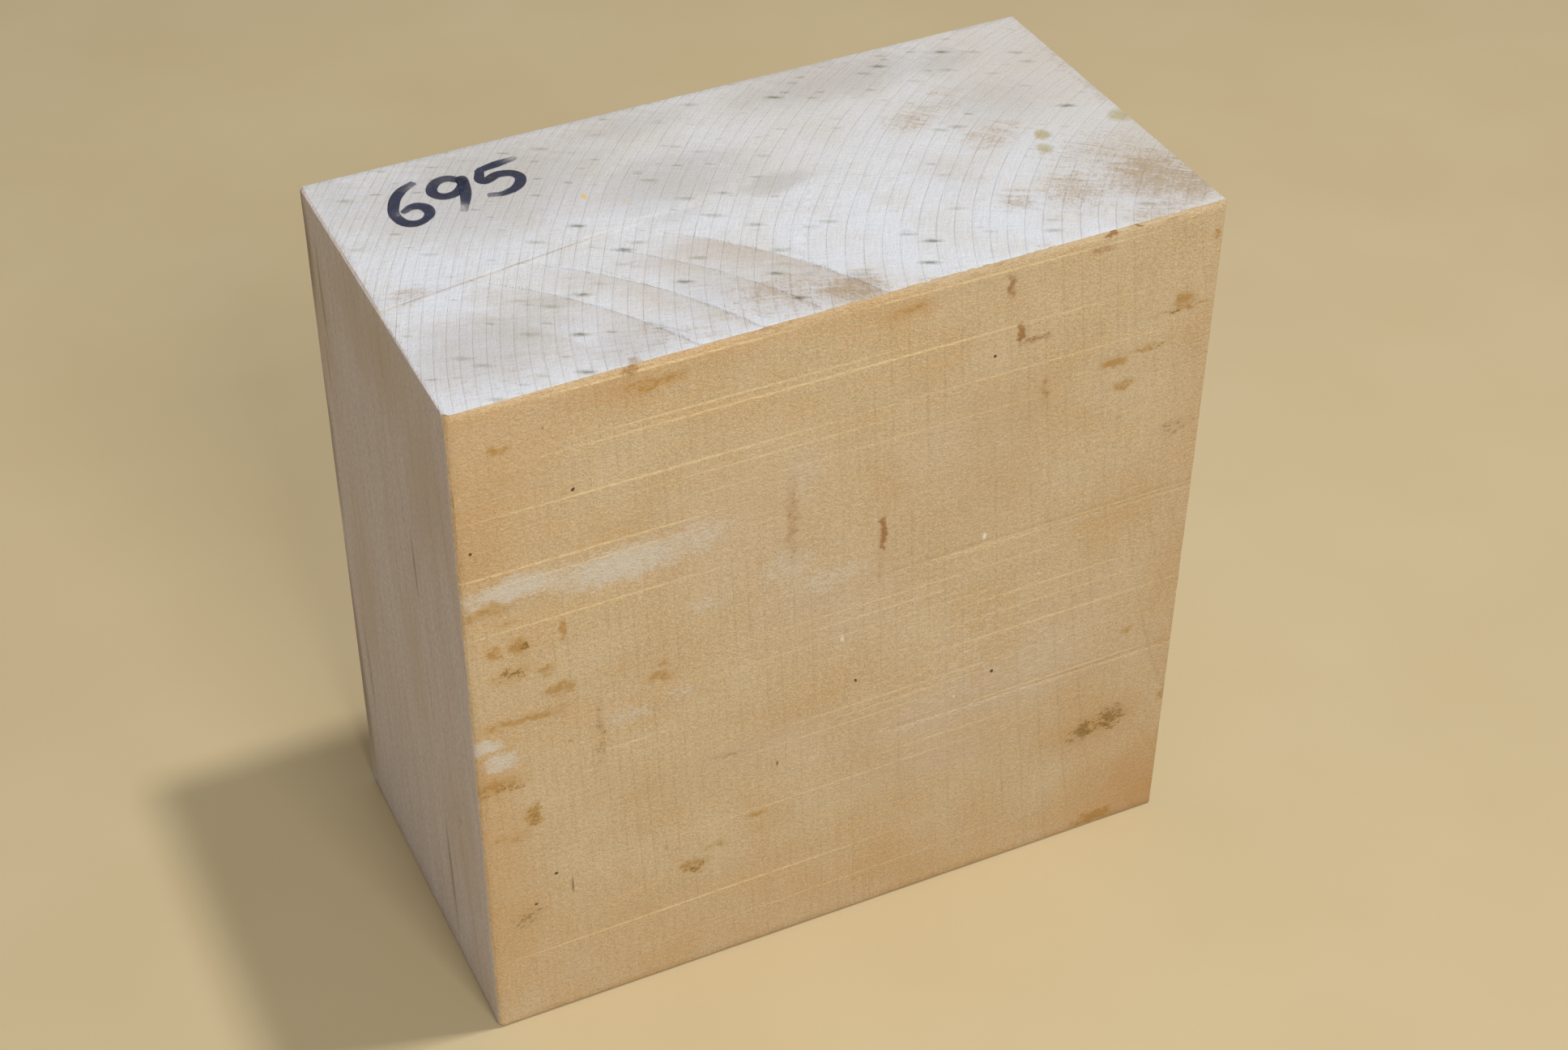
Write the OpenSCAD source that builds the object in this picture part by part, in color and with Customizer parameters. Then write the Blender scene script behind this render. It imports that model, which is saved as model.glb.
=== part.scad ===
// Block of maple, cut from a thick plank and stood on one sawn end, so that
// its grain runs upright. The broad faces look to the front (-Y) and to the
// back (+Y), and the origin is at the middle of the end that it stands on.
// The upper end was cut by a hand-held circular saw, in two passes from
// opposite faces, because its blade doesn't reach through the plank.

/* [Plank] */
// Width of the block, from its left side to its right side
block_l = 152; // [120:1:200]
// Thickness of the block, from its front face to its back face
block_w = 80; // [65:1:110]
// Height of the block at the middle of its upper end
block_h = 151; // [130:1:200]
// Leg of the narrow flat that handling has worn along each edge
arris = 0.4; // [0.2:0.1:1.5]

/* [Upper end] */
// How far the right side stands higher than the left side
rise_right = 3.5; // [0:0.1:6]
// How far the back face stands higher than the front face
rise_back = 1.5; // [0:0.1:4]

/* [Second saw pass] */
// Height of the step between the two passes, at the left side
step_h = 0.2; // [0.1:0.05:1]
// Distance of the step from the back face, at the left side
step_from_back = 46.5; // [35:0.5:55]
// Length over which the step fades out, from the left side
step_l = 90; // [60:1:110]
// Angle between the step and the front face
step_angle = 8; // [0:0.5:10]

/* [Blade marks] */
// Radius of the saw blade
blade_r = 92; // [85:1:105]
// How far in front of the front face the centre of the blade passed
blade_off = 37; // [30:1:45]
// Distance from the left side to the last mark, along the front face
mark_from_left = 82; // [70:1:100]
// Distance from each mark to the next
mark_pitch = 12; // [9:0.5:16]
// Number of marks
mark_count = 4; // [1:1:5]
// Depth of a mark at its rim
mark_depth = 0.1; // [0.05:0.05:0.4]
// Width over which a mark fades out behind its rim
mark_w = 9; // [6:0.5:14]

/* [Saw scores] */
// Height of the upper score above the base
upper_score_z = 87.5; // [75:0.5:100]
// Height of the lower score above the base
lower_score_z = 47; // [30:0.5:60]
// Width of a score at the right side
score_w = 1.2; // [0.6:0.1:3]
// Depth of a score at the right side
score_depth = 0.25; // [0.1:0.05:0.8]
// Length over which a score runs out, from the right side
score_l = 72; // [40:1:100]

/* [Corners] */
// Width of the chip at the back left corner of the upper end
back_chip = 1.1; // [0.5:0.1:3]
// Height of that chip
back_chip_h = 2; // [1:0.1:6]
// Width of the rubbed front left corner of the upper end
rubbed_corner = 1.2; // [0.5:0.1:3]
// Height of that rubbed corner
rubbed_corner_h = 5; // [2:0.1:10]
// Width of the bruise at the front left corner of the base
base_bruise = 1.1; // [0.5:0.1:3]
// Height of that bruise
base_bruise_h = 2; // [1:0.1:6]

/* [Hidden] */
$fn = 180;

half_l = block_l / 2;
half_w = block_w / 2;
// Longer than any cut, so that each cutter reaches right across the block
reach = 2 * (block_l + block_w + block_h);

tilt_right = atan(rise_right / block_l);
tilt_back = atan(rise_back / block_w);
// Height of a corner of the upper end, by its sides of -1 or 1
function upper_z(x_side, y_side) = block_h + (x_side * rise_right + y_side * rise_back) / 2;

// Where the step between the two passes has faded out
step_end_x = step_l - half_l;
step_end_y = half_w - step_from_back + step_l * tan(step_angle);
step_dip = atan(step_h * cos(step_angle) / step_l);

// A mark's rim meets the front face where the blade's circle does
mark_run = sqrt(blade_r * blade_r - blade_off * blade_off);
mark_dip = atan(mark_depth / mark_w);
// The middle of a mark's rim, between the front face and the step
pass_depth = block_w - step_from_back;
mark_angle = (asin(blade_off / blade_r) + asin(min(1, (blade_off + pass_depth) / blade_r))) / 2;

score_dip = atan(score_depth / score_l);

// Everything above the plane z = 0
module above() {
    translate([-reach, -reach, 0])
        cube([2 * reach, 2 * reach, reach]);
}

// Frame of the upper end: its z = 0 plane is the plane of the first pass
module at_upper_end() {
    translate([0, 0, block_h])
        rotate([tilt_back, -tilt_right, 0])
            children();
}

// Frame of the second pass, which dips from the step's far end to the left
module at_second_pass() {
    at_upper_end()
        translate([step_end_x, step_end_y, 0])
            rotate([0, 0, step_angle])
                rotate([0, -step_dip, 0])
                    rotate([0, 0, -step_angle])
                        translate([-step_end_x, -step_end_y, 0])
                            children();
}

// The length of plank before its upper end is cut, with worn long corners
module blank() {
    linear_extrude(height = block_h + rise_right + rise_back)
        polygon([
            [arris - half_l, -half_w], [half_l - arris, -half_w],
            [half_l, arris - half_w], [half_l, half_w - arris],
            [half_l - arris, half_w], [arris - half_l, half_w],
            [-half_l, half_w - arris], [-half_l, arris - half_w]
        ]);
}

// One turn of the blade: a disc leaning a little, so that only its rim cuts
module blade_mark(i) {
    translate([mark_from_left - half_l - i * mark_pitch - mark_run, -half_w - blade_off, 0])
        rotate([0, 0, mark_angle])
            translate([blade_r - mark_w, 0, 0])
                rotate([0, mark_dip, 0])
                    translate([mark_w - blade_r, 0, 0])
                        cylinder(h = block_h, r = blade_r);
}

// The second pass works in front of the step only
module second_pass() {
    intersection() {
        at_upper_end()
            translate([step_end_x, step_end_y, 0])
                rotate([0, 0, step_angle])
                    translate([-reach, -reach, -reach / 2])
                        cube([2 * reach, reach, reach]);
        at_second_pass() {
            above();
            for (i = [0 : mark_count - 1])
                blade_mark(i);
        }
    }
}

// Flats along the four edges of an end whose plane is z = 0
module end_flats(long_half, short_half) {
    for (side = [0 : 3])
        rotate([0, 0, 90 * side])
            translate([0, side % 2 == 0 ? -short_half : -long_half, -arris])
                rotate([45, 0, 0])
                    above();
}

// A corner cut off by one plane, with legs w along the end and h down the
// upright edge. The sides are -1 or 1, and z is the corner's height.
module corner_cut(x_side, y_side, z, w, h) {
    inset = w / sqrt(2);
    translate([x_side * half_l, y_side * half_w, z])
        rotate([0, 0, atan2(y_side, x_side)])
            translate([-inset, 0, 0])
                rotate([0, -atan(inset / h), 0])
                    translate([0, -reach, -reach])
                        cube([reach, 2 * reach, 2 * reach]);
}

// A groove across the front face, deepest at the right side. Its section
// keeps its slopes, so it narrows as it runs out.
module score(z) {
    translate([half_l - score_l, -half_w, z])
        rotate([0, 0, score_dip])
            rotate([90, 0, 90])
                linear_extrude(height = score_l + score_w)
                    polygon([[0, 0], [-2 * score_depth, score_w], [-2 * score_depth, -score_w]]);
}

module block() {
    color([0.82, 0.67, 0.48])
        difference() {
            blank();
            at_upper_end() {
                above();
                end_flats(half_l / cos(tilt_right), half_w / cos(tilt_back));
            }
            second_pass();
            mirror([0, 0, 1])
                end_flats(half_l, half_w);
            score(upper_score_z);
            score(lower_score_z);
            corner_cut(-1, 1, upper_z(-1, 1), back_chip, back_chip_h);
            corner_cut(-1, -1, upper_z(-1, -1), rubbed_corner, rubbed_corner_h);
            mirror([0, 0, 1])
                corner_cut(-1, -1, 0, base_bruise, base_bruise_h);
        }
}

block();
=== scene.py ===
import math

import bpy
from mathutils import Matrix, Vector


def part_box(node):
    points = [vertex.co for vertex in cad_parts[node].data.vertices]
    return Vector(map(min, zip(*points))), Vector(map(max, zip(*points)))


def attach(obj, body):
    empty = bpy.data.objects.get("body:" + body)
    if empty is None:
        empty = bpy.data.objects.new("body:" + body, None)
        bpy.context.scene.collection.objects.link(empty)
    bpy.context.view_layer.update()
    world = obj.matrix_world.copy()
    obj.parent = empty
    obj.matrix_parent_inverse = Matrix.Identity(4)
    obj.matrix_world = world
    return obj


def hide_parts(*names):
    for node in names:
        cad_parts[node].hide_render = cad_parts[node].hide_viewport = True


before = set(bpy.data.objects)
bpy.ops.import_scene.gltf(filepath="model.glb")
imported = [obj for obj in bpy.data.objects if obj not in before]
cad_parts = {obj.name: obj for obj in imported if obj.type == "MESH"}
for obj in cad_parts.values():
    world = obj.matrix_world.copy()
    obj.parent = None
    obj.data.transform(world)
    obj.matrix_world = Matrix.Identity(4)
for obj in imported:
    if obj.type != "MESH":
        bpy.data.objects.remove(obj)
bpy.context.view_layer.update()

# --- The block ---------------------------------------------------------------
# An offcut of a thick maple plank, stood on one sawn end. Its broad faces are
# as the bandsaw left them, and a hand-held circular saw cut the upper end in
# two passes. The CAD solid has its form: here it gets its worn and torn skin.
mm = 0.001
low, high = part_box("block")
half_l = (high.x - low.x) / 2 / mm
half_w = (high.y - low.y) / 2 / mm
rise_right = 3.5
rise_back = 1.5
top_mid = 151.0
arris = 0.4
net_pitch = 1.5
edge_support = 0.55
weld = 0.001
sliver = 0.05
slack = 0.05
wave_size = 14
wave_depth = 0.10
wear_size = 1.3
wear_depth = 0.16
soft_angle = 30
upright = Vector((0, 0, 1))
upper_normal = Vector((-rise_right / (2 * half_l), -rise_back / (2 * half_w), 1)).normalized()

bpy.ops.object.select_all(action="DESELECT")
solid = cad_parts["block"]
solid.select_set(True)
bpy.context.view_layer.objects.active = solid
bpy.ops.object.duplicate()
block = bpy.context.object
block.name = "maple_block"
block.parent = None
block.matrix_world = Matrix.Identity(4)

bpy.ops.object.mode_set(mode="EDIT")
bpy.ops.mesh.select_all(action="SELECT")
bpy.ops.mesh.remove_doubles(threshold=weld * mm)


def spaced(start, end, pitch):
    """Even places from start to end, as near to a pitch as fits."""
    count = round((end - start) / pitch)
    return [start + (end - start) * i / count for i in range(count + 1)]


def cut_through(place, normal):
    """Cuts the whole mesh by a plane through a place in mm."""
    bpy.ops.mesh.select_all(action="SELECT")
    bpy.ops.mesh.bisect(plane_co=Vector(place) * mm, plane_no=normal)


for right in spaced(edge_support - half_l, half_l - edge_support, net_pitch):
    cut_through((right, 0, 0), (1, 0, 0))
for back in spaced(edge_support - half_w, half_w - edge_support, net_pitch):
    cut_through((0, back, 0), (0, 1, 0))
for up in spaced(edge_support, top_mid - edge_support, net_pitch):
    cut_through((0, 0, up), upright.lerp(upper_normal, up / top_mid))
bpy.ops.mesh.select_all(action="SELECT")
bpy.ops.mesh.remove_doubles(threshold=sliver * mm)
bpy.ops.object.mode_set(mode="OBJECT")


def below_upper_end(place):
    """How far a place in mm lies under the plane of the upper end."""
    return (upright * top_mid - place).dot(upper_normal)


def on_edge(place):
    """True on the worn strip along any edge of the block."""
    end_gap = min(below_upper_end(place), place.z)
    gaps = sorted((end_gap, half_l - abs(place.x), half_w - abs(place.y)))
    return gaps[1] < arris + slack


edges = block.vertex_groups.new(name="edges")
edges.add([v.index for v in block.data.vertices if on_edge(v.co / mm)], 1.0, "REPLACE")


def press_in(name, size, depth, group=""):
    """Presses a cloudy unevenness of a size and depth in mm into the skin."""
    clouds = bpy.data.textures.new(name, "CLOUDS")
    clouds.noise_scale = size * mm
    clouds.noise_depth = 2
    uneven = block.modifiers.new(name, "DISPLACE")
    uneven.texture = clouds
    uneven.texture_coords = "LOCAL"
    uneven.strength = depth * mm
    uneven.mid_level = 1.0
    uneven.vertex_group = group
    bpy.ops.object.modifier_apply(modifier=name)


press_in("sawn_waves", wave_size, wave_depth)
press_in("worn_edges", wear_size, wear_depth, "edges")
bpy.ops.object.shade_smooth_by_angle(angle=math.radians(soft_angle))


class Signal:
    """An output of a shader node. Sums with it add Math nodes to its material."""

    def __init__(self, tree, socket):
        self.tree = tree
        self.socket = socket

    def node(self, kind, settings, inputs, output=0):
        """Adds a node of a kind: its settings first, then its values and links."""
        node = self.tree.nodes.new("ShaderNode" + kind)
        for name, value in settings.items():
            setattr(node, name, value)
        for name, value in inputs.items():
            if isinstance(value, Signal):
                self.tree.links.new(value.socket, node.inputs[name])
            else:
                node.inputs[name].default_value = value
        return Signal(self.tree, node.outputs[output])

    def math(self, operation, *others):
        """A Math node on this and other numbers."""
        return self.node("Math", {"operation": operation}, dict(enumerate((self, *others))))

    def vector(self, operation, *others, output=0):
        """A Vector Math node on this and other places."""
        values = dict(enumerate((self, *others)))
        return self.node("VectorMath", {"operation": operation}, values, output)

    def __add__(self, other):
        return self.math("ADD", other)

    __radd__ = __add__

    def __sub__(self, other):
        return self.math("SUBTRACT", other)

    def __rsub__(self, other):
        return (self * -1.0).math("ADD", other)

    def __mul__(self, other):
        return self.math("MULTIPLY", other)

    __rmul__ = __mul__

    def __pow__(self, other):
        return self.math("POWER", other)

    def ramp(self, start, end, low=0.0, high=1.0, ease="SMOOTHSTEP"):
        """Goes from low to high as this goes from start to end, and stays there."""
        inputs = {0: self, 1: start, 2: end, 3: low, 4: high}
        return self.node("MapRange", {"interpolation_type": ease}, inputs)

    def axis(self, number):
        """One axis of a place."""
        return self.node("SeparateXYZ", {}, {0: self}, number)


def screen(red, green, blue):
    """A colour in linear light, from the 0 to 255 that a screen shows it with."""
    parts = [c / 255 for c in (red, green, blue)]
    return [c / 12.92 if c < 0.04045 else ((c + 0.055) / 1.055) ** 2.4 for c in parts] + [1.0]


def lay(under, over, amount, blend="MIX"):
    """Lays one colour over another, by an amount that is a signal."""
    settings = {"data_type": "RGBA", "blend_type": blend}
    return amount.node("Mix", settings, {0: amount, 6: under, 7: over}, 2)


def tone(colour, amount):
    """Makes a colour lighter or darker, by a signal around 1."""
    return colour.node("VectorMath", {"operation": "SCALE"}, {0: colour, "Scale": amount})


def moved(place, scale, shift):
    """A place that is scaled along each axis and then shifted."""
    return place.vector("MULTIPLY_ADD", scale, shift)


def joined(right, forward, up=0.0):
    """A place made from its axes, of which the first is a signal."""
    return right.node("CombineXYZ", {}, {0: right, 1: forward, 2: up})


def cloud(place, size, stretch=(1, 1, 1), detail=2, grainy=0.5):
    """Noise around 0, about 1 either way, with features of a size in mm."""
    shrunk = place.vector("MULTIPLY", [1 / (size * s) for s in stretch])
    inputs = {"Vector": shrunk, "Scale": 1.0, "Detail": detail, "Roughness": grainy}
    return shrunk.node("TexNoise", {}, inputs, "Fac").math("MULTIPLY_ADD", 4.0, -2.0)


def stir(place, size, reach, detail=3):
    """A place pushed about by noise of a size, by about a reach in mm, so that
    what is drawn there has a ragged outline."""
    shrunk = place.vector("MULTIPLY", [1 / size] * 3)
    push = shrunk.node("TexNoise", {}, {"Vector": shrunk, "Scale": 1.0, "Detail": detail}, "Color")
    middled = push.vector("SUBTRACT", (0.5, 0.5, 0.5))
    return middled.vector("MULTIPLY_ADD", (5 * reach, 5 * reach, 0), place)


def spots(place, marks):
    """Soft spots, each given by its centre, its reach both ways and its strength."""
    found = 0.0
    for right, down, wide, tall, strength in marks:
        shift = (-right / wide, -down / tall, 0)
        far = moved(place, (1 / wide, 1 / tall, 0), shift).vector("LENGTH", output="Value")
        found = far.ramp(1.0, 0.0, 0.0, strength, "SMOOTHERSTEP").math("MAXIMUM", found)
    return found


def new_finish(name):
    """A material, and the place on it in mm from the middle of the base."""
    finish = bpy.data.materials.new(name)
    finish.use_nodes = True
    tree = finish.node_tree
    where = Signal(tree, tree.nodes.new("ShaderNodeTexCoord").outputs["Object"])
    return finish, where.node("VectorMath", {"operation": "SCALE"}, {0: where, "Scale": 1 / mm})


def settle(finish, colour, roughness, height, depth):
    """Gives a finish its colour, its roughness and the relief of its skin in mm."""
    tree = finish.node_tree
    shader = tree.nodes["Principled BSDF"]
    shader.inputs["Specular IOR Level"].default_value = 0.3
    tree.links.new(colour.socket, shader.inputs["Base Color"])
    tree.links.new(roughness.socket, shader.inputs["Roughness"])
    relief = height.node("Bump", {}, {"Height": height, "Distance": depth * mm, "Strength": 1.0})
    tree.links.new(relief.socket, shader.inputs["Normal"])


def year_rings(place):
    """The number of the year ring, and the distance and turn round the pith,
    which lies off the front right corner and leans to the right as it goes down.
    The rings lean more towards the right side, and far from the pith they are
    tighter."""
    pith_right = 135
    pith_forward = 75
    straight_lean = 0.05
    bent_lean = 0.12
    bend_left = 11
    bend_reach = 80
    roundness = math.sqrt(1.3)
    ring_width = 3.3
    tight_from = 150
    tightening = 0.0011
    x, y, z = (place.axis(number) for number in range(3))
    bend = ((x + bend_left) * (1 / bend_reach)).math("MAXIMUM", 0.0)
    lean = (top_mid - z) * (bend ** 3 * bent_lean + straight_lean)
    across = lean - x + pith_right
    deep = (y + pith_forward) * roundness
    far = (across * across + deep * deep).math("SQRT")
    tight = (far - tight_from).math("MAXIMUM", 0.0)
    rings = far * (1 / ring_width) + tight * tight * tightening
    return rings, far, deep.math("ARCTAN2", across)


def ring_lines(rings, place, width):
    """Where one year ends: 1 on its fine line, and a little in the wood before it."""
    wander = 0.24
    late_wood = 0.16
    edge = rings + cloud(place, 34, (1, 1, 4), detail=1) * wander
    line = edge.math("PINGPONG", 0.5).ramp(0.0, width, 1.0, 0.0)
    return (edge.math("FRACT") ** 4 * late_wood).math("MAXIMUM", line)


def end_grain(place):
    """Pale sawn end grain, with its year rings and the rays across them, which
    together look like linen. Gives its colour, and then what it is made of."""
    middle_r = 150
    rings, far, turn = year_rings(place)
    lines = ring_lines(rings, place, 0.06)
    rays = cloud(joined(turn * middle_r, far * 0.08), 0.7, detail=3, grainy=0.7)
    linen = rays + cloud(joined(far, turn * 12), 0.6, detail=3, grainy=0.7)
    fringe = cloud(joined(turn * middle_r, far * 0.12), 1.5, detail=3)
    pores = cloud(place, 0.6, detail=2, grainy=0.85)
    smudge = cloud(place, 1.6, detail=3)
    drift = cloud(place, 11, detail=2)
    shade = linen * 0.046 + pores * 0.06 + smudge * 0.014 + drift * 0.012 + 1
    shade = shade - lines * drift.ramp(-1.4, 0.6, 0.35, 1.0) * 0.2
    pale = lay(screen(206, 207, 211), screen(198, 194, 189), (drift + smudge * 0.5).ramp(-1.0, 1.6))
    return tone(pale, shade), linen, pores, lines, smudge, fringe


# The base: plain end grain, as the saw left it.
base_finish, place = new_finish("maple_base_end_grain")
colour, linen, pores = end_grain(place)[:3]
settle(base_finish, colour, pores.ramp(-1.5, 1.5, 0.75, 0.9), linen + pores, 0.03)

# The upper end. Its marks are placed from the back left corner, to the right
# and forward. The second pass lies in front of the seam, and to the right the
# two passes fade together.
seam_forward = 46.6
seam_slope = 0.142
blade_r = 92
blade_off = 37
blade_left = 2.2


def sawn_arc(place, centre):
    """How far right a place lies of an arc cut by the blade's teeth, with its
    centre left of the block, and forward by so much."""
    behind = place.axis(1) - centre
    return place.axis(0) - (blade_r * blade_r - behind * behind).math("SQRT") + blade_left


top_finish, place = new_finish("maple_upper_end")
colour, linen, pores, lines, smudge, fringe = end_grain(place)
end_place = moved(place, (1, -1, 0), (half_l, half_w, 0))
seam = end_place.axis(1) + end_place.axis(0) * seam_slope - seam_forward
front_arc = sawn_arc(end_place, 2 * half_w + blade_off)
back_arc = sawn_arc(end_place, -blade_off)
second_pass = (seam * end_place.axis(0).ramp(55, 85, 1.0, 0.02)).ramp(-0.2, 0.2)
arc = back_arc * (1 - second_pass) + front_arc * second_pass
teeth = cloud(joined(arc, end_place.axis(1) * 0.03), 0.55, detail=3)
scuff = linen * 0.5 + smudge * 0.25 + teeth * 0.25 + fringe * 0.4
colour = tone(colour, teeth * 0.008 + 1)
streaked = end_place.vector("ADD", joined(fringe * -1.1, fringe * 1.5))
frayed = stir(streaked, 4.5, 1.3, detail=4)
aged = spots(frayed, [
    (58, 4, 52, 32, 0.7), (100, 4, 54, 36, 0.85), (146, 20, 52, 54, 1.0), (152, 62, 34, 42, 1.0),
    (84, 30, 60, 22, 0.4),
])
colour = lay(colour, screen(186, 177, 164), aged * 0.68)
weathered = spots(frayed, [
    (30, 16, 50, 34, 0.85), (62, 28, 34, 20, 0.8), (106, 8, 48, 15, 0.75), (128, 11, 16, 10, 0.7),
    (80, 38, 15, 6.5, 0.85), (58, 40, 16, 6, 0.5), (14, 64, 30, 22, 0.75), (110, 50, 15, 17, 0.4),
    (130, 30, 26, 20, 0.5), (62, 6, 36, 11, 0.6), (5, 8, 16, 24, 0.6), (28, 56, 13, 8, 0.5),
    (36, 74, 22, 12, 0.6), (54, 66, 16, 14, 0.5),
])
patchy = (weathered + scuff * 0.2).ramp(0.12, 0.85) * weathered.ramp(0.0, 0.15)
colour = lay(colour, screen(164, 157, 149), patchy * 0.46)

# Behind each rim that the blade cut, the wood is burnished.
burnish = 0.0
for feed, near, far_end, strength, fade in (
    (0, 44, 84, 1.0, 17), (12, 44, 74, 0.75, 11), (24, 44, 72, 0.65, 10), (36, 46, 70, 0.6, 12),
    (49, 50, 72, 0.3, 10),
):
    behind_rim = front_arc + (feed + 0.1)
    rim = (behind_rim + teeth * 0.3).ramp(-fade, 0, 0.0, strength, "LINEAR") * behind_rim.ramp(0.25, -0.25)
    reach = end_place.axis(1).ramp(near, near + 9) * end_place.axis(1).ramp(far_end + 9, far_end)
    burnish = (rim * reach).math("MAXIMUM", burnish)
colour = lay(colour, screen(174, 159, 142), burnish * scuff.ramp(-1.2, 1.2, 0.4, 0.85))

# Tan and olive patches, and the seam itself.
tan = spots(frayed, [
    (144, 66, 21, 17, 1.0), (128, 65, 14, 15, 0.8), (149, 72, 12, 12, 1.0), (124, 41, 14, 9, 0.65),
    (113, 28.5, 12, 9, 0.7), (117.5, 63.5, 8, 8, 0.72), (77, 76, 13, 10, 1.0), (66, 72, 22, 12, 0.65),
    (6, 44, 12, 4, 0.6), (34.3, 78.5, 2.2, 4, 1.0), (121, 24, 14, 12, 0.4), (139, 78, 16, 7, 0.75),
    (27, 8, 7, 7, 0.3), (138, 54, 16, 14, 0.6), (12, 74, 20, 12, 0.35), (45, 76, 26, 9, 0.45),
    (140, 62, 36, 28, 0.52), (151, 30, 2.5, 60, 0.5), (76, 80, 90, 1.8, 0.45), (0, 40, 1.8, 50, 0.4),
])
tanned = (tan + (scuff + pores * 0.8) * 0.5).ramp(0.2, 1.3) * tan.ramp(0.0, 0.2)
colour = lay(colour, screen(152, 124, 82), tanned * 0.7)
olive = spots(stir(end_place, 2.2, 0.5), [
    (133, 44.8, 3.2, 3.6, 1.0), (130.8, 49.6, 3, 3.8, 0.9), (150.5, 45, 5, 5, 0.9),
])
colour = lay(colour, screen(164, 150, 98), (olive + scuff * 0.3 * olive).ramp(0.1, 1.0) * 0.75)
seam_edge = seam + smudge * 0.12
seam_line = seam_edge.math("ABSOLUTE").ramp(0.4, 0.05) * end_place.axis(0).ramp(62, 30)
colour = lay(colour, screen(160, 142, 112), seam_line * 0.28)

# Flecks lie at one slant: they are round in a frame turned and squeezed to it.
fleck_slant = math.radians(27)
fleck_thin = 0.34


def fleck_frame(right, forward):
    """The same place in the frame where a fleck is round."""
    along = (right * math.cos(fleck_slant) + forward * math.sin(fleck_slant)) * fleck_thin
    return along, forward * math.cos(fleck_slant) - right * math.sin(fleck_slant)


ruffled = stir(end_place, 1.2, 0.12)
splinter = spots(ruffled, [(46.2, 27, 0.9, 1.8, 1.0), (52.4, 32, 0.9, 0.8, 0.5)])
colour = lay(colour, screen(214, 178, 104), splinter)
fleck_place = joined(*fleck_frame(ruffled.axis(0), ruffled.axis(1)))
nearest = 9.0
for smaller, centres in (
    (0.0, ((51.5, 60.8), (67, 65.5), (29, 67.8), (67.5, 74.3), (41.2, 35.7), (25.8, 78.5), (96.6, 68.5),
           (34, 56.7), (93.2, 9.2), (46, 46.7), (117.2, 7.2), (131.2, 7.5), (142.8, 37.2), (92.8, 74.5))),
    (0.4, ((32.5, 37.5), (48.9, 45.5), (27.5, 57.5), (21.3, 64), (8.5, 65.7), (11, 69.2), (56.8, 55),
           (70.8, 59), (79.7, 72.4), (82.7, 54.4), (93.5, 64.6), (70.5, 49.5), (65.3, 43.5),
           (59.2, 27), (62.7, 35.8), (69.6, 37), (77.3, 4.5), (45, 7.3), (6, 9), (113.2, 8.5),
           (136.8, 10.2), (128.8, 14.5), (144.5, 14.3), (144.8, 18.5), (116.3, 34.5), (120, 35),
           (117.8, 75), (9.8, 79.3), (137.5, 74.5))),
    (0.6, ((23.3, 53.7), (44, 50.8), (37.8, 54.7), (69.5, 63.3), (72, 68.5), (79, 54.5), (107.5, 70.3),
           (71.5, 21.5), (81.8, 28.2), (89.3, 20.9), (69, 8.2), (56.5, 7.3), (134.5, 3), (121, 15.7),
           (136, 19.5), (139.5, 26.8), (99, 25.2), (118, 25.7), (109, 49.3), (106, 60.8), (119.3, 71.8),
           (138, 57.8), (3, 26), (14, 33))),
):
    for centre in centres:
        gap = fleck_place.vector("DISTANCE", (*fleck_frame(*centre), smaller), output="Value")
        nearest = gap.math("MINIMUM", nearest)
ragged = nearest + linen * 0.09 + pores * 0.05
colour = lay(colour, screen(128, 130, 108), ragged.ramp(1.0, 0.3) * 0.42)
colour = lay(colour, screen(80, 80, 64), ragged.ramp(0.5, 0.15) * 0.5)
cells = fleck_place.node("TexVoronoi", {}, {"Vector": fleck_place, "Scale": 0.38}, "Distance")
faint_flecks = (cells + linen * 0.03).ramp(0.2, 0.05) * weathered.ramp(0.0, 0.6, 0.35, 1.0)
colour = lay(colour, screen(128, 128, 110), faint_flecks * 0.5)
settle(top_finish, colour, pores.ramp(-1.5, 1.5, 0.75, 0.9), pores + linen - lines, 0.04)


def sawn_skin(place):
    """The skin left by the bandsaw: torn across the grain, with the year rings
    faint and upright behind it. It has toned to a golden brown. Gives its
    colour, and then what it is made of."""
    saw_slope = 0.0105
    lines = ring_lines(year_rings(place)[0], place, 0.09)
    faint = cloud(place, 9, (1, 1, 2.5), detail=2).ramp(-0.9, 0.8, 0.0, 1.0)
    saw_height = place.axis(2) - place.axis(0) * saw_slope
    saw_place = joined(place.axis(0), place.axis(1), saw_height)
    fuzz = cloud(saw_place, 0.85, (1.3, 1, 1), detail=1, grainy=0.7)
    ripple = cloud(saw_place, 1.1, (30, 1, 1), detail=2, grainy=0.7)
    grain = cloud(place, 0.6, (1, 1, 12), detail=3, grainy=0.7)
    pores = cloud(place, 0.42, detail=1, grainy=0.7)
    drift = cloud(place, 15, detail=3)
    shade = fuzz * 0.02 + ripple * 0.06 + grain * 0.05 + pores * 0.08 + drift * 0.014 + 0.965
    shade = shade - lines * faint * 0.1
    mix = drift + ripple * 0.5 - fuzz * 0.5 - pores * 0.8
    golden = lay(screen(212, 191, 156), screen(200, 169, 124), mix.ramp(-1.8, 1.8))
    return tone(golden, shade), fuzz, ripple, pores, saw_place


# The back face, with no more than faint torn lines.
back_finish, place = new_finish("maple_back_face")
colour, fuzz, ripple, pores = sawn_skin(place)[:4]
colour = lay(colour, screen(236, 212, 166), (ripple + fuzz * 0.3).ramp(0.45, 1.0) * 0.55)
settle(back_finish, colour, pores.ramp(-1.5, 1.5, 0.68, 0.85), fuzz + pores, 0.035)

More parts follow.
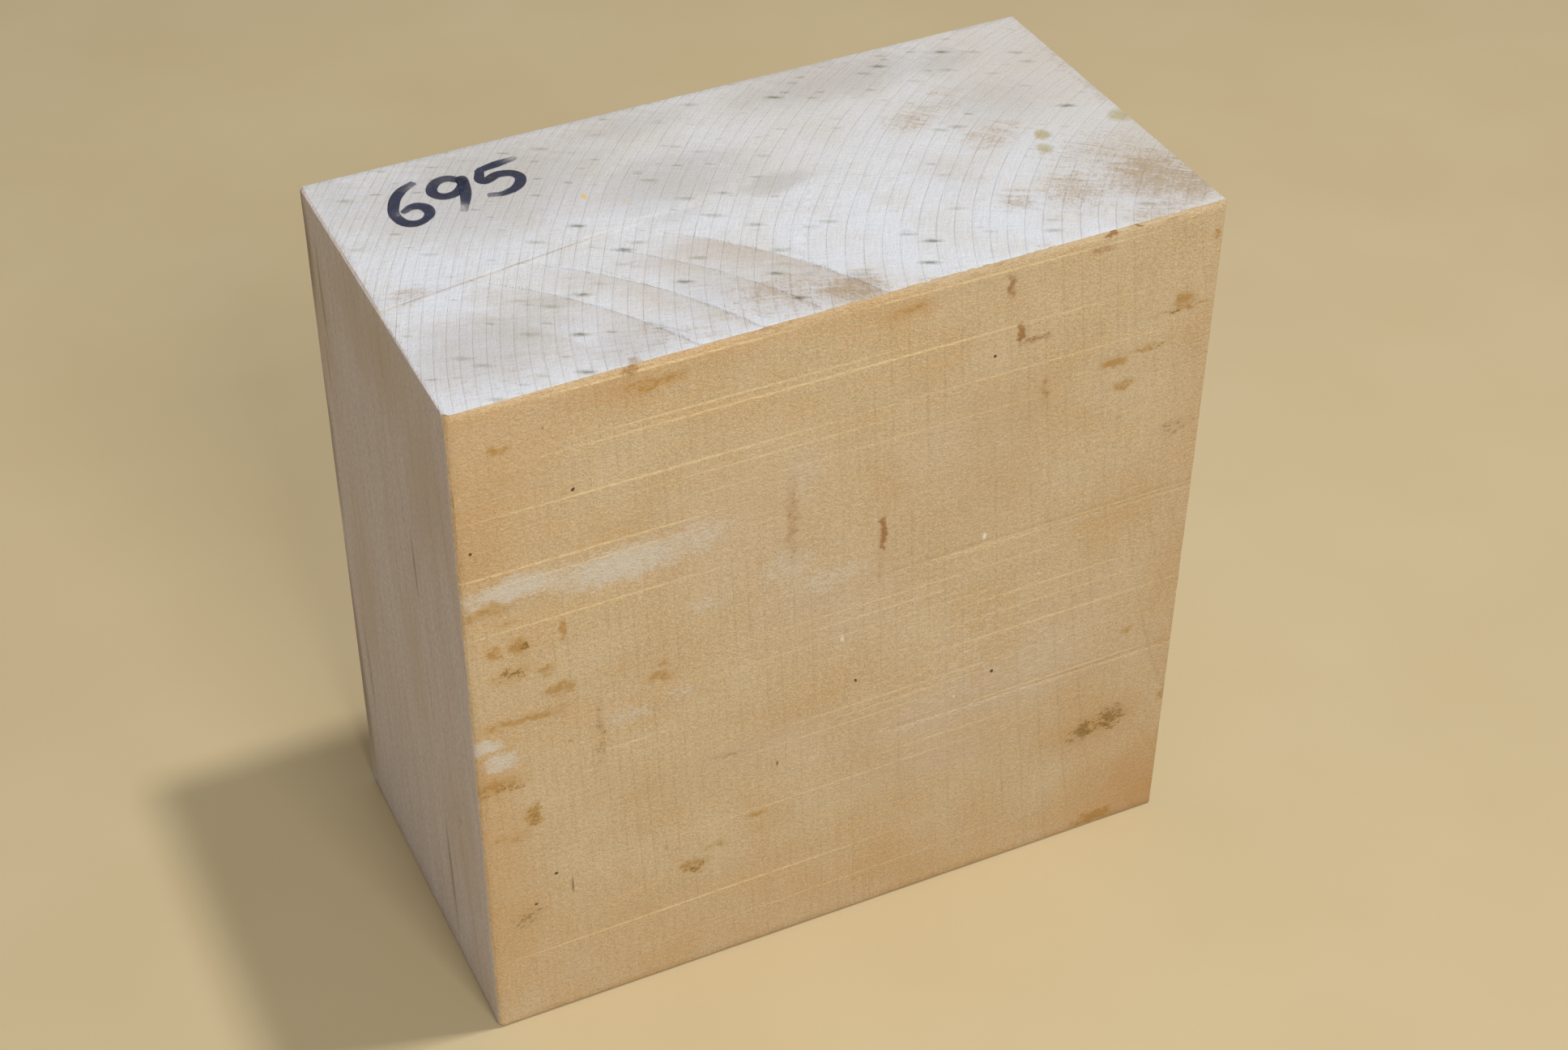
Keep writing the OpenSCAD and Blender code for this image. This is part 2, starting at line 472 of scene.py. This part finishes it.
# The front face. Its marks are placed from the upper left corner, to the
# right and down. Heights are stretched to the slope of the upper edge.
height_stretch = 1.005
stretch_slope = 0.000153
front_finish, place = new_finish("maple_front_face")
colour, fuzz, ripple, pores, saw_place = sawn_skin(place)
down = top_mid - place.axis(2) * (height_stretch - place.axis(0) * stretch_slope)
flat = joined(place.axis(0) + half_l, down)
face_place = stir(flat, 2.6, 0.8, detail=4)
clump = cloud(flat, 1.3, (1.6, 1, 1), detail=4)
speckle = fuzz * 0.3 + pores * 0.4 + clump * 0.35
# Golden-brown patches; the spots along the foot also make the face darker towards the bottom.
toned = spots(face_place, [
    (0, 12, 34, 66, 0.5), (60, -4, 110, 14, 0.45), (150, 152, 40, 40, 1.0), (0, 110, 18, 70, 0.5),
    (152, 60, 16, 80, 0.35), (30, 4.5, 22, 6, 0.6), (87, 4.8, 12, 4, 0.6), (8, 15, 12, 10, 0.4),
    (136, 139, 9, 14, 0.6), (76, 151, 90, 8, 0.3), (60, 140, 110, 26, 0.25), (136, 123, 18, 16, 0.6),
])
colour = lay(colour, screen(192, 142, 82), (toned + ripple * 0.15 * toned) * 0.6)
greyed = spots(face_place, [
    (105, 103, 60, 14, 0.8), (52, 42, 34, 26, 0.5), (96, 115, 44, 12, 0.6), (74, 66, 34, 22, 0.4),
    (100, 40, 30, 30, 0.4), (60, 97, 34, 8, 0.6), (130, 85, 30, 14, 0.3),
])
colour = lay(colour, screen(198, 178, 156), greyed * 0.5)
chalk = spots(face_place, [
    (30, 42, 27, 8, 0.85), (10, 40.5, 20, 5.5, 0.9), (44, 41, 14, 7, 0.6), (2, 75.5, 7, 3, 1.0),
    (5, 80, 7, 4.5, 0.9), (30, 78, 11, 5, 0.5), (41, 77, 8, 5, 0.4), (46, 57, 8, 4, 0.5),
    (63, 54, 13, 9, 0.5), (71, 60, 20, 6, 0.5), (66, 34, 9, 16, 0.35), (30, 68, 36, 26, 0.2),
    (60, 60, 60, 44, 0.2), (92, 76, 70, 60, 0.2),
])
chalked = (chalk + speckle * 0.4 + ripple * 0.06).ramp(0.08, 1.0) * chalk.ramp(0.0, 0.1)
colour = lay(colour, screen(210, 202, 188), chalked * 0.84)

# Fibres that the saw tore up, in long fine lines and in short bits. The long pale lines are also a painted
# highlight, where torn ridges catch the grazing overhead lamp.
streak_place = joined(flat.axis(0), saw_place.axis(2) + fuzz * 0.05)
streaks = spots(streak_place, [
    (42, 148.0, 44, 0.55, 0.9), (106, 148.3, 64, 0.5, 0.8), (55, 137.8, 64, 0.45, 0.7),
    (75, 136.0, 100, 0.5, 0.9), (40, 126.0, 66, 0.5, 0.8), (110, 126.2, 66, 0.45, 0.5),
    (60, 123.1, 56, 0.45, 0.5), (75, 118.6, 90, 0.45, 0.4), (20, 113.8, 56, 0.5, 0.7),
    (25, 111, 44, 0.45, 0.5), (25, 100.8, 50, 0.5, 0.6), (125, 87.3, 56, 0.55, 0.8),
    (90, 81.5, 80, 0.5, 0.45), (82, 78.8, 34, 0.45, 0.55), (75, 75.4, 80, 0.45, 0.4),
    (120, 73, 44, 0.5, 0.5), (120, 68.9, 50, 0.5, 0.5), (30, 65.6, 22, 0.45, 0.5),
    (120, 63.5, 56, 0.6, 0.6), (90, 56.7, 66, 0.5, 0.5), (90, 54.7, 34, 0.45, 0.5),
    (75, 52.5, 44, 0.45, 0.5), (122, 47.2, 50, 0.6, 0.8), (97, 41.1, 28, 0.5, 0.5),
    (75, 37.4, 90, 0.45, 0.45), (45, 18.3, 80, 0.5, 0.7), (75, 9.5, 90, 0.45, 0.4),
])
dashes = cloud(saw_place, 0.4, (5, 1, 0.5), detail=3)
torn_and_lit = streaks.ramp(0.0, 0.8) * dashes.ramp(-0.7, 0.6, 0.2, 1.0)
colour = lay(colour, screen(240, 216, 168), torn_and_lit * 0.8)
shredded = spots(flat, [
    (112, 95, 95, 62, 1.0), (150, 60, 60, 50, 0.8), (60, 60, 60, 50, 0.55), (60, 12, 90, 22, 0.45),
    (30, 130, 60, 30, 0.35),
])
bits = cloud(saw_place, 0.5, (5, 1, 0.75), detail=3)
colour = lay(colour, screen(222, 204, 180), (bits * 0.6 + shredded).ramp(0.9, 1.5) * 0.55)

# Stains, from pale ochre to dark rust, and then grit and nicks.
ochre = spots(face_place, [
    (5, 44, 10, 3.2, 0.7), (5, 53.7, 3.4, 3.2, 0.9), (10, 53.8, 3.4, 3.4, 1.0), (18.3, 52.7, 2, 4.2, 0.9),
    (17, 66.5, 6, 3, 0.9), (15, 61.2, 3.2, 3, 0.8), (10, 71.3, 16, 2, 0.8), (37, 71.2, 6, 2.2, 0.8),
    (37.5, 68.5, 2.4, 2, 0.6), (4, 86, 11, 4, 0.7), (10.5, 96, 3.2, 5, 1.0), (6, 100, 9, 3.4, 0.5),
    (8.6, 10, 4.6, 2.2, 0.8), (38, 4.8, 13, 2.6, 0.7), (87, 4.8, 8, 1.8, 0.6), (144.7, 19.2, 4, 4, 1.0),
    (145, 21.2, 12, 1.2, 0.7), (130.5, 29.2, 5.5, 3, 1.0), (138, 27.8, 9, 1.4, 0.7),
    (133, 35, 5.5, 2.6, 0.8), (140.5, 98, 2.6, 2.4, 0.8), (137, 149, 9, 3, 1.0), (56.5, 115, 6, 2.4, 0.7),
    (42.5, 123, 6, 4.6, 0.9), (48, 119.7, 6, 1.8, 0.6), (18.2, 80, 1.6, 1.6, 0.7),
    (132.5, 42.5, 2.2, 2, 0.5), (8, 60, 9, 4, 0.6), (8, 48, 4, 2, 0.5), (135, 122, 12, 6, 0.6),
    (150.5, 7, 2, 3, 0.8),
    (9.5, 16, 3, 6, 0.35), (151, 119, 3, 3, 0.7), (62, 119, 18, 4, 0.25), (70, 70, 3, 3, 0.25),
])
colour = lay(colour, screen(188, 146, 68), ochre.ramp(0.0, 0.8) * 0.2)
stained = (ochre + speckle).ramp(0.35, 0.95) * ochre.ramp(0.0, 0.25)
colour = lay(colour, screen(164, 114, 12), stained * 0.58)
mossy = spots(face_place, [
    (132, 122.5, 6, 5.5, 1.0), (138.5, 120.5, 8, 6, 0.9), (8.5, 60, 6, 2.6, 0.7), (10.4, 96.5, 2, 3.8, 0.6),
    (8, 122.5, 7, 5, 0.6), (146, 48.6, 9, 2.6, 0.6), (42.8, 124, 4.6, 3.4, 0.6), (24.2, 82, 1.8, 15, 0.55),
    (110, 18, 2, 1.6, 0.5), (50, 96.4, 5, 1.6, 0.5), (6, 87, 8, 2, 0.6), (11, 94, 2, 1.8, 0.6),
    (11, 54, 1.6, 1.4, 0.8), (142, 21, 6, 1, 0.6), (140, 28, 5, 1, 0.5), (30, 96, 30, 14, 0.12),
])
mossed = (mossy + speckle * 1.2).ramp(0.4, 1.0) * mossy.ramp(0.0, 0.25)
colour = lay(colour, screen(112, 88, 26), mossed * 0.6)
rust = spots(face_place, [
    (107, 6, 2, 4.6, 0.8), (109.5, 16.5, 2, 4.6, 1.0), (113, 18.8, 6, 1.6, 0.7), (115.8, 31, 1.8, 8, 0.5),
    (82.5, 53.5, 1.7, 8, 1.0), (63.6, 44, 3, 22, 0.5), (82.4, 62, 1.6, 9, 0.35), (119, 46, 1.6, 8, 0.3),
    (24.5, 78, 2, 12, 0.4), (33, 1, 3, 2.4, 0.7), (60, 0.8, 14, 1.2, 0.5), (104, 0.8, 20, 1.2, 0.4),
    (126, 3.2, 5, 2.4, 0.6), (127, 0.6, 3, 1, 1.0), (132.5, 0.5, 2.4, 0.8, 1.0),
])
rusted = (rust + speckle * 0.6).ramp(0.2, 0.95) * rust.ramp(0.0, 0.2)
colour = lay(colour, screen(142, 86, 10), rusted * 0.74)
grit = spots(stir(flat, 0.8, 0.12), [
    (21.7, 22.5, 0.8, 0.7, 1.0), (2.5, 30.1, 0.6, 0.6, 1.0), (104.3, 20, 0.6, 0.6, 1.0),
    (77.7, 87.8, 0.8, 0.8, 0.8), (108.5, 97, 0.8, 0.8, 0.8), (60.8, 103, 0.8, 1.6, 0.6),
    (17.2, 117.5, 0.7, 6.5, 0.55), (14, 113, 1, 0.8, 0.7), (9.5, 119.5, 1, 0.8, 0.7), (17, 8, 1, 1, 0.5),
])
colour = lay(colour, screen(56, 40, 26), grit.ramp(0.3, 0.7) * 0.9)
nicks = spots(flat, [(104.7, 61.5, 0.7, 1.3, 1.0), (74.5, 76, 0.7, 1.3, 0.8), (100, 100.5, 0.5, 0.5, 0.8)])
colour = lay(colour, screen(240, 232, 220), nicks)

# Painted shade darkens the upper arris, where it catches the overhead lamp, and the face is a little darker
# to the right and down.
darker_right_and_down = flat.vector("DOT_PRODUCT", (-0.0004, -0.0005, 0), output="Value")
colour = tone(colour, down.ramp(0.35, 0.7, 0.86, 1.06) + speckle * 0.04 + darker_right_and_down)
settle(front_finish, colour, pores.ramp(-1.5, 1.5, 0.68, 0.85), fuzz + pores, 0.035)


def side_grain(place):
    """Smooth upright long grain, greyer than the faces, with broad year rings.
    Gives its colour, and then what it is made of."""
    lines = ring_lines(year_rings(place)[0], place, 0.1)
    grain = cloud(place, 0.8, (1, 1, 14), detail=1, grainy=0.8)
    figure = cloud(place, 3.5, (1, 1, 9), detail=4)
    pores = cloud(place, 0.65, (1, 1, 1.4), detail=1, grainy=0.8)
    shade = grain * 0.08 + figure * 0.032 + pores * 0.15 - lines * 0.08 + 1
    side = lay(screen(217, 206, 201), screen(204, 189, 179), (figure + grain * 0.4).ramp(-1.4, 1.4))
    return tone(side, shade), grain, pores, figure


# The right side, cut with the grain.
right_finish, place = new_finish("maple_right_side")
colour, grain, pores = side_grain(place)[:3]
settle(right_finish, colour, pores.ramp(-1.5, 1.5, 0.68, 0.82), grain + pores, 0.02)

# The left side, with streaks of heartwood. Its marks are placed from the
# back, forward and down, and the streaks lean forward as they go down.
streak_lean = 0.053
left_finish, place = new_finish("maple_left_side")
colour, grain, pores, figure = side_grain(place)
down = top_mid - place.axis(2)
from_back = half_w - place.axis(1) + figure * 0.4
blush = spots(stir(joined(from_back, down), 9, 2.0), [
    (40, 12, 44, 20, 0.8), (66, 26, 20, 30, 0.7), (14, 84, 12, 40, 0.7), (66, 110, 16, 30, 0.6),
    (72, 146, 14, 20, 0.5), (46, 80, 8, 34, 0.5), (5, 26, 12, 34, 0.8), (4, 140, 9, 30, 0.6),
])
colour = lay(colour, screen(190, 167, 122), (blush + pores * 0.25 * blush) * 0.4)
# Dark upright streaks; the last spot is a faint band that darkens the foot of the side.
heartwood = spots(joined(from_back - down * streak_lean, down), [
    (0, 12, 5, 26, 0.9), (-2.5, 56, 4.5, 40, 0.7), (-5.5, 112, 5.5, 60, 0.9), (6.4, 20, 1.4, 20, 0.6),
    (3.6, 38, 1.2, 12, 0.5), (3.2, 112, 2, 22, 0.5), (49.7, 53, 1.4, 15, 0.7), (49.6, 80, 0.9, 16, 0.35),
    (49.4, 129, 1.5, 27, 0.75), (60.5, 106, 1.4, 1.8, 0.5), (34, 152, 60, 10, 0.3),
])
colour = lay(colour, screen(116, 96, 60), heartwood.ramp(0.0, 0.9) * 0.55)
settle(left_finish, colour, pores.ramp(-1.5, 1.5, 0.68, 0.82), grain + pores, 0.02)

finishes = [top_finish, base_finish, front_finish, back_finish, left_finish, right_finish]
block.data.materials.clear()
for finish in finishes:
    block.data.materials.append(finish)


def finish_for(face):
    """The finish that a face takes. The small walls left by the saw and the worn
    edges at the back and the right take the upper end's, and the worn edges at
    the front and the left take their own side's."""
    level = 0.85
    slanting = 0.5
    leaning = 0.3
    place = face.center / mm
    rim = arris + 2 * slack
    inside = abs(place.x) < half_l - rim and abs(place.y) < half_w - rim
    own_side = face.normal.y < -leaning or face.normal.x < -leaning
    if face.normal.z > (level if own_side else slanting) or (inside and place.z > top_mid / 2):
        return top_finish
    if face.normal.z < -level:
        return base_finish
    if abs(face.normal.y) > slanting:
        return front_finish if face.normal.y < 0 else back_finish
    return left_finish if face.normal.x < 0 else right_finish


for face in block.data.polygons:
    face.material_index = finishes.index(finish_for(face))

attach(block, "root")
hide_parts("block")

# --- The number --------------------------------------------------------------
# A tally number written by hand near the back left corner of the upper end,
# in blue-black felt pen. It is a thin film of ink, and dry where a stroke ends.
pen_r = 1.12
film = 0.02
knot_rise = 1.5
pressures = (0.75, 1.0, 1.0, 0.92, 1.0)
lifting_off = 0.6
strokes = {
    "six": ((19.4, 8.6), (16.2, 10.6), (13.6, 14.6), (12.8, 18.8), (14.4, 21.9), (17.4, 21.6),
            (18.9, 18.8), (17.2, 16.6), (14.4, 17.6)),
    "nine": ((27.8, 11.8), (25.2, 9.8), (22.2, 11.4), (21.8, 14.6), (24.4, 15.8), (27.2, 13.4),
             (27.9, 11.2), (27.0, 16.2), (24.6, 22.2)),
    "five": ((32.0, 9.6), (31.4, 13.6), (34.8, 12.6), (37.8, 14.2), (37.2, 17.4), (33.6, 19.4),
             (30.6, 18.9)),
    "five_bar": ((32.0, 9.7), (35.6, 9.0), (39.8, 8.4)),
}
bpy.ops.object.select_all(action="DESELECT")
drawn = []
for name, points in strokes.items():
    path = bpy.data.curves.new(name, "CURVE")
    path.dimensions = "3D"
    path.bevel_depth = pen_r * mm
    path.bevel_resolution = 5
    path.resolution_u = 10
    path.use_fill_caps = True
    spline = path.splines.new("BEZIER")
    spline.bezier_points.add(len(points) - 1)
    for number, (knot, (right, forward)) in enumerate(zip(spline.bezier_points, points)):
        # Each knot is higher than the last, so that a stroke crosses over itself.
        knot.co = ((right - half_l) * mm, (half_w - forward) * mm, number * knot_rise * mm)
        knot.handle_left_type = knot.handle_right_type = "AUTO"
        knot.radius = pressures[number % len(pressures)]
    knot.radius = lifting_off
    stroke = bpy.data.objects.new(name, path)
    bpy.context.scene.collection.objects.link(stroke)
    stroke.select_set(True)
    drawn.append(stroke)
bpy.context.view_layer.objects.active = drawn[0]
bpy.ops.object.convert(target="MESH")
bpy.ops.object.join()
ink = bpy.context.object
ink.name = "ink_number"
bpy.ops.object.mode_set(mode="EDIT")
bpy.ops.mesh.select_all(action="SELECT")
bpy.ops.mesh.remove_doubles(threshold=weld * mm)
bpy.ops.mesh.normals_make_consistent(inside=False)
bpy.ops.transform.resize(value=(1, 1, film / (2 * pen_r)), center_override=(0, 0, 0))
# The ends of the strokes are the only triangles, and their rims stay sharp.
bpy.ops.mesh.select_face_by_sides(number=3, extend=False)
bpy.ops.mesh.mark_sharp()
bpy.ops.object.mode_set(mode="OBJECT")
tilt = upright.rotation_difference(upper_normal).to_matrix().to_4x4()
ink.data.transform(Matrix.Translation((0, 0, (top_mid + film) * mm)) @ tilt)

ink_finish, place = new_finish("felt_pen_ink")
streaky = cloud(place, 0.35, (2.5, 1, 1), detail=3)
blotch = cloud(place, 2.6, detail=2)
blue_black = lay(screen(40, 42, 62), screen(66, 70, 98), (streaky * 0.5 + blotch).ramp(-0.8, 1.4))
settle(ink_finish, blue_black, streaky.ramp(-1.5, 1.5, 0.45, 0.7), streaky, 0.01)
page = moved(place, (1, -1, 0), (half_l, half_w, 0))
dry = spots(page, [
    (19.4, 9.5, 4.5, 4.5, 0.35), (14.4, 17.6, 4, 3, 0.25), (24.6, 22, 3.4, 7, 0.45),
    (30.6, 19, 4.5, 3, 0.4), (39.8, 8.4, 5.5, 3, 0.5), (25, 10, 4, 3, 0.2),
])
cover = (blotch * 0.16 + streaky * 0.12 - dry + 0.62).math("MAXIMUM", 0.08)
ink_shader = ink_finish.node_tree.nodes["Principled BSDF"]
ink_finish.node_tree.links.new(cover.socket, ink_shader.inputs["Alpha"])
ink.data.materials.append(ink_finish)
bpy.ops.object.shade_smooth()
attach(ink, "root")

# --- The floor, the light and the camera -------------------------------------
# A plain pale floor. One soft lamp hangs nearly overhead, a broad soft one
# stands behind the camera, and the room gives the rest.
floor_size = 8
aim_height = 0.08
room_light = 0.325
camera_place = (-0.1719, -0.3663, 0.3837)
camera_turn = -25.81
camera_down = 37.45
camera_roll = 0.43
camera_lens = 57.63

bpy.ops.object.select_all(action="DESELECT")
bpy.ops.mesh.primitive_plane_add(size=floor_size, location=(0, 0, 0))
floor = bpy.context.object
floor.name = "floor"
floor_finish, place = new_finish("pale_floor")
mottle = cloud(place, 60, detail=2)
floor_colour = lay(screen(200, 181, 142), screen(195, 175, 135), mottle.ramp(-1.5, 1.5))
settle(floor_finish, floor_colour, mottle.ramp(-2, 2, 0.6, 0.7), mottle, 0.01)
floor.data.materials.append(floor_finish)


def lamp(name, towards, distance, size, power):
    """A square soft lamp, in metres and watts, that faces the block from a
    direction."""
    bpy.ops.object.light_add(type="AREA")
    light = bpy.context.object
    light.name = name
    light.data.size = size
    light.data.energy = power
    back = Vector(towards).normalized()
    light.location = Vector((0, 0, aim_height)) + back * distance
    light.rotation_euler = back.to_track_quat("Z", "Y").to_euler()


lamp("overhead_lamp", (33, -12, 150), 1.2, 0.085, 7.9)
lamp("front_lamp", (0, -0.8, 0.6), 1.6, 0.5, 11.7)
world = bpy.data.worlds.new("room")
bpy.context.scene.world = world
world.use_nodes = True
background = world.node_tree.nodes["Background"]
background.inputs["Color"].default_value = (1.0, 1.0, 1.0, 1)
background.inputs["Strength"].default_value = room_light
bpy.context.scene.view_settings.view_transform = "Standard"

camera_data = bpy.data.cameras.new("camera")
camera_data.lens = camera_lens
camera_data.sensor_width = 36
camera = bpy.data.objects.new("camera", camera_data)
bpy.context.scene.collection.objects.link(camera)
turn = Matrix.Rotation(math.radians(camera_turn), 4, "Z")
tip = Matrix.Rotation(math.radians(90 - camera_down), 4, "X")
roll = Matrix.Rotation(math.radians(camera_roll), 4, "Z")
camera.matrix_world = Matrix.Translation(camera_place) @ turn @ tip @ roll
bpy.context.scene.camera = camera
